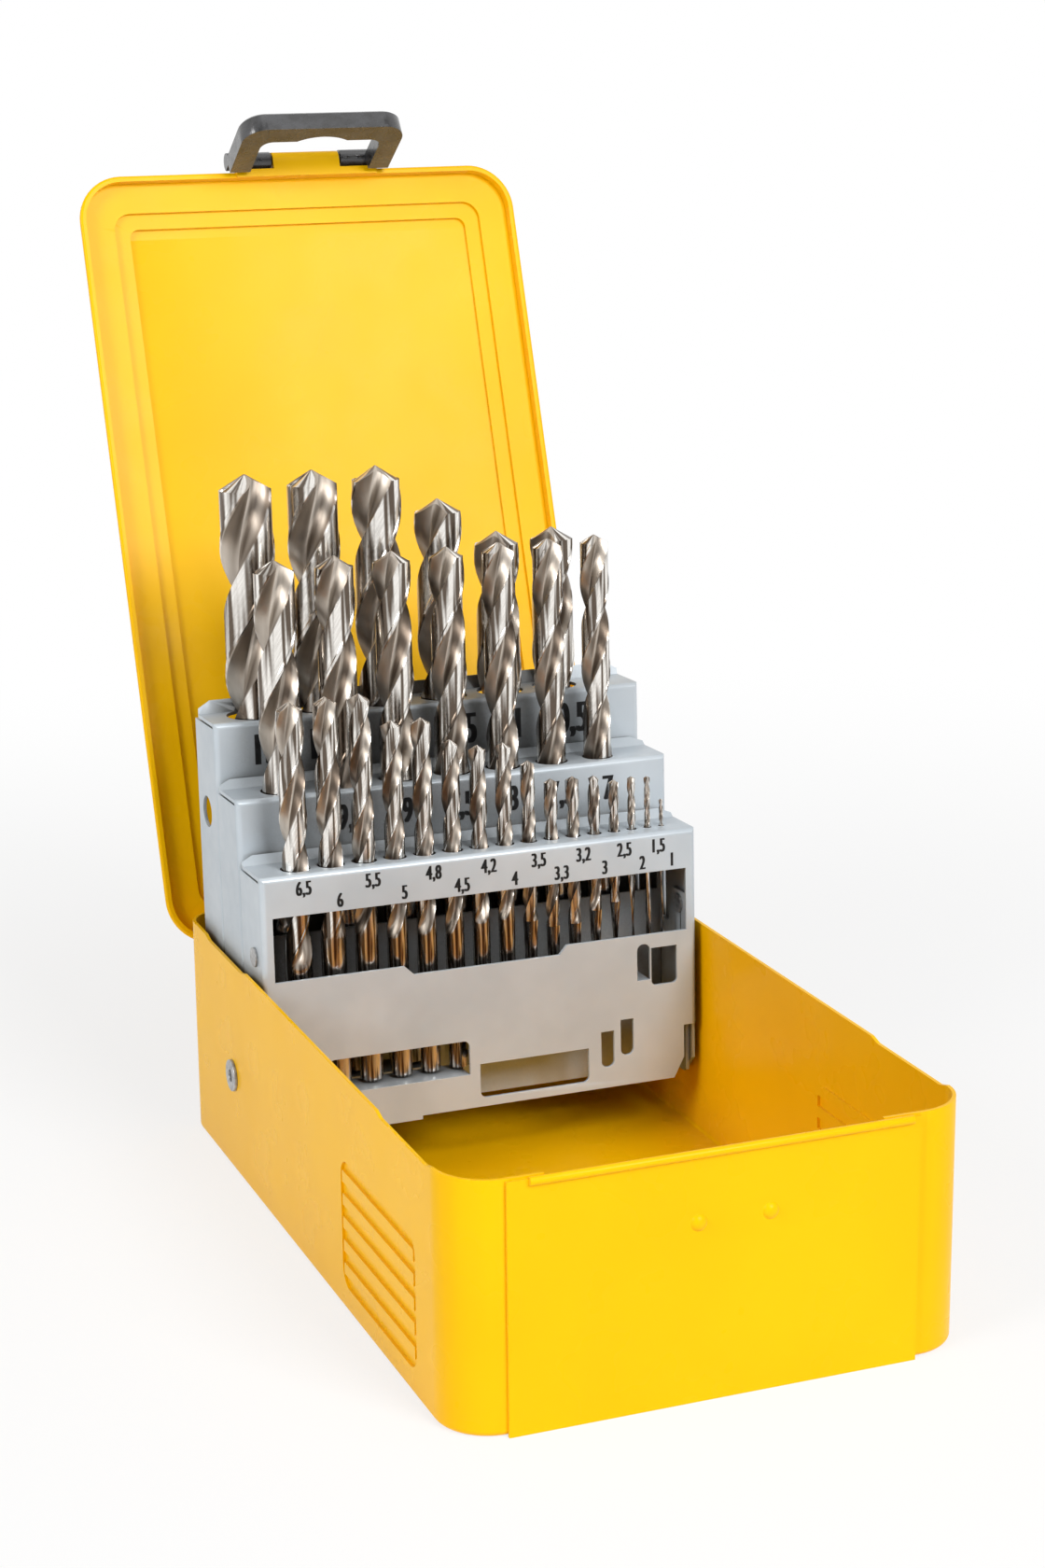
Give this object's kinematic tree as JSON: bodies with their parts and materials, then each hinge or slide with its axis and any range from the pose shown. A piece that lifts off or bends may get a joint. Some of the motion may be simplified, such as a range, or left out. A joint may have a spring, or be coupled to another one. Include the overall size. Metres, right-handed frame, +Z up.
{
  "type": "drill bit case",
  "caption": "Open folded-steel drill case with a hinged lid, a moulded latch and a stepped tilting rack that holds loose twist drills by size.",
  "frame": {"origin": "centre of the base's underside, where it stands", "axes": "+X to the right seen from the front, +Y to the hinge at the back, +Z up"},
  "size_m": [0.1178, 0.2682, 0.2438],
  "materials": {
    "case_yellow": "semi-gloss powder coat",
    "rack_grey": "satin",
    "latch_black": "fine moulded grain",
    "bit_steel": "ground and bright",
    "rivet_zinc": "zinc plated"
  },
  "bodies": {
    "base": {"base_shell": "case_yellow", "base_front_panel": "case_yellow", "base_hinge_leaf": "case_yellow", "hinge_pin": "rivet_zinc", "pivot_rivet_left": "rivet_zinc", "pivot_rivet_right": "rivet_zinc", "pivot_washer_left": "rivet_zinc", "pivot_washer_right": "rivet_zinc"},
    "lid": {"lid_shell": "case_yellow", "lid_hinge_leaf": "case_yellow"},
    "latch": {"latch": "latch_black"},
    "rack": {"rack_front_tier": "rack_grey", "rack_middle_tier": "rack_grey", "rack_back_tier": "rack_grey", "rack_side_plate_left": "rack_grey", "rack_side_plate_right": "rack_grey", "rack_rivets": "rivet_zinc"},
    "drill_6_5": {"bit_6_5": "bit_steel"},
    "drill_6_0": {"bit_6_0": "bit_steel"},
    "drill_5_5": {"bit_5_5": "bit_steel"},
    "drill_5_0": {"bit_5_0": "bit_steel"},
    "drill_4_8": {"bit_4_8": "bit_steel"},
    "drill_4_5": {"bit_4_5": "bit_steel"},
    "drill_4_2": {"bit_4_2": "bit_steel"},
    "drill_4_0": {"bit_4_0": "bit_steel"},
    "drill_3_5": {"bit_3_5": "bit_steel"},
    "drill_3_3": {"bit_3_3": "bit_steel"},
    "drill_3_2": {"bit_3_2": "bit_steel"},
    "drill_3_0": {"bit_3_0": "bit_steel"},
    "drill_2_5": {"bit_2_5": "bit_steel"},
    "drill_2_0": {"bit_2_0": "bit_steel"},
    "drill_1_5": {"bit_1_5": "bit_steel"},
    "drill_1_0": {"bit_1_0": "bit_steel"},
    "drill_10_0": {"bit_10_0": "bit_steel"},
    "drill_9_5": {"bit_9_5": "bit_steel"},
    "drill_9_0": {"bit_9_0": "bit_steel"},
    "drill_8_5": {"bit_8_5": "bit_steel"},
    "drill_8_0": {"bit_8_0": "bit_steel"},
    "drill_7_5": {"bit_7_5": "bit_steel"},
    "drill_7_0": {"bit_7_0": "bit_steel"},
    "drill_13_0": {"bit_13_0": "bit_steel"},
    "drill_12_5": {"bit_12_5": "bit_steel"},
    "drill_12_0": {"bit_12_0": "bit_steel"},
    "drill_11_5": {"bit_11_5": "bit_steel"},
    "drill_11_0": {"bit_11_0": "bit_steel"},
    "drill_10_5": {"bit_10_5": "bit_steel"}
  },
  "joints": [
    {"name": "lid_hinge", "type": "hinge", "parent": "base", "child": "lid", "pos_m": [0, 0.0973, 0.0463], "axis": [-1, 0, 0], "range_deg": [-109.5, 0]},
    {"name": "rack_tilt", "type": "hinge", "parent": "base", "child": "rack", "pos_m": [0, 0.0562, 0.025], "axis": [-1, 0, 0], "range_deg": [-92.05, 0]},
    {"name": "latch_pivot", "type": "hinge", "parent": "lid", "child": "latch", "pos_m": [0.0025, 0.16988, 0.23118], "axis": [-1, 0, 0], "range_deg": [-15, 86.5]},
    {"name": "lift_6_5", "type": "slide", "parent": "rack", "child": "drill_6_5", "axis": [0, 0.0349, 0.9994], "range_m": [0, 0.0598]},
    {"name": "lift_6_0", "type": "slide", "parent": "rack", "child": "drill_6_0", "axis": [0, 0.0349, 0.9994], "range_m": [0, 0.0514]},
    {"name": "lift_5_5", "type": "slide", "parent": "rack", "child": "drill_5_5", "axis": [0, 0.0349, 0.9994], "range_m": [0, 0.0514]},
    {"name": "lift_5_0", "type": "slide", "parent": "rack", "child": "drill_5_0", "axis": [0, 0.0349, 0.9994], "range_m": [0, 0.0514]},
    {"name": "lift_4_8", "type": "slide", "parent": "rack", "child": "drill_4_8", "axis": [0, 0.0349, 0.9994], "range_m": [0, 0.0514]},
    {"name": "lift_4_5", "type": "slide", "parent": "rack", "child": "drill_4_5", "axis": [0, 0.0349, 0.9994], "range_m": [0, 0.0514]},
    {"name": "lift_4_2", "type": "slide", "parent": "rack", "child": "drill_4_2", "axis": [0, 0.0349, 0.9994], "range_m": [0, 0.0484]},
    {"name": "lift_4_0", "type": "slide", "parent": "rack", "child": "drill_4_0", "axis": [0, 0.0349, 0.9994], "range_m": [0, 0.0484]},
    {"name": "lift_3_5", "type": "slide", "parent": "rack", "child": "drill_3_5", "axis": [0, 0.0349, 0.9994], "range_m": [0, 0.0484]},
    {"name": "lift_3_3", "type": "slide", "parent": "rack", "child": "drill_3_3", "axis": [0, 0.0349, 0.9994], "range_m": [0, 0.0484]},
    {"name": "lift_3_2", "type": "slide", "parent": "rack", "child": "drill_3_2", "axis": [0, 0.0349, 0.9994], "range_m": [0, 0.0484]},
    {"name": "lift_3_0", "type": "slide", "parent": "rack", "child": "drill_3_0", "axis": [0, 0.0349, 0.9994], "range_m": [0, 0.0448]},
    {"name": "lift_2_5", "type": "slide", "parent": "rack", "child": "drill_2_5", "axis": [0, 0.0349, 0.9994], "range_m": [0, 0.0424]},
    {"name": "lift_2_0", "type": "slide", "parent": "rack", "child": "drill_2_0", "axis": [0, 0.0349, 0.9994], "range_m": [0, 0.034]},
    {"name": "lift_1_5", "type": "slide", "parent": "rack", "child": "drill_1_5", "axis": [0, 0.0349, 0.9994], "range_m": [0, 0.0254]},
    {"name": "lift_1_0", "type": "slide", "parent": "rack", "child": "drill_1_0", "axis": [0, 0.0349, 0.9994], "range_m": [0, 0.0254]},
    {"name": "lift_10_0", "type": "slide", "parent": "rack", "child": "drill_10_0", "axis": [0, 0.0349, 0.9994], "range_m": [0, 0.0764]},
    {"name": "lift_9_5", "type": "slide", "parent": "rack", "child": "drill_9_5", "axis": [0, 0.0349, 0.9994], "range_m": [0, 0.0684]},
    {"name": "lift_9_0", "type": "slide", "parent": "rack", "child": "drill_9_0", "axis": [0, 0.0349, 0.9994], "range_m": [0, 0.0684]},
    {"name": "lift_8_5", "type": "slide", "parent": "rack", "child": "drill_8_5", "axis": [0, 0.0349, 0.9994], "range_m": [0, 0.0604]},
    {"name": "lift_8_0", "type": "slide", "parent": "rack", "child": "drill_8_0", "axis": [0, 0.0349, 0.9994], "range_m": [0, 0.0604]},
    {"name": "lift_7_5", "type": "slide", "parent": "rack", "child": "drill_7_5", "axis": [0, 0.0349, 0.9994], "range_m": [0, 0.0524]},
    {"name": "lift_7_0", "type": "slide", "parent": "rack", "child": "drill_7_0", "axis": [0, 0.0349, 0.9994], "range_m": [0, 0.0524]},
    {"name": "lift_13_0", "type": "slide", "parent": "rack", "child": "drill_13_0", "axis": [0, 0.0349, 0.9994], "range_m": [0, 0.0914]},
    {"name": "lift_12_5", "type": "slide", "parent": "rack", "child": "drill_12_5", "axis": [0, 0.0349, 0.9994], "range_m": [0, 0.0914]},
    {"name": "lift_12_0", "type": "slide", "parent": "rack", "child": "drill_12_0", "axis": [0, 0.0349, 0.9994], "range_m": [0, 0.0914]},
    {"name": "lift_11_5", "type": "slide", "parent": "rack", "child": "drill_11_5", "axis": [0, 0.0349, 0.9994], "range_m": [0, 0.0914]},
    {"name": "lift_11_0", "type": "slide", "parent": "rack", "child": "drill_11_0", "axis": [0, 0.0349, 0.9994], "range_m": [0, 0.0914]},
    {"name": "lift_10_5", "type": "slide", "parent": "rack", "child": "drill_10_5", "axis": [0, 0.0349, 0.9994], "range_m": [0, 0.0914]}
  ],
  "couplings": [
    {"joint": "rack_tilt", "follows": "lid_hinge", "ratio": 0.84018}
  ]
}
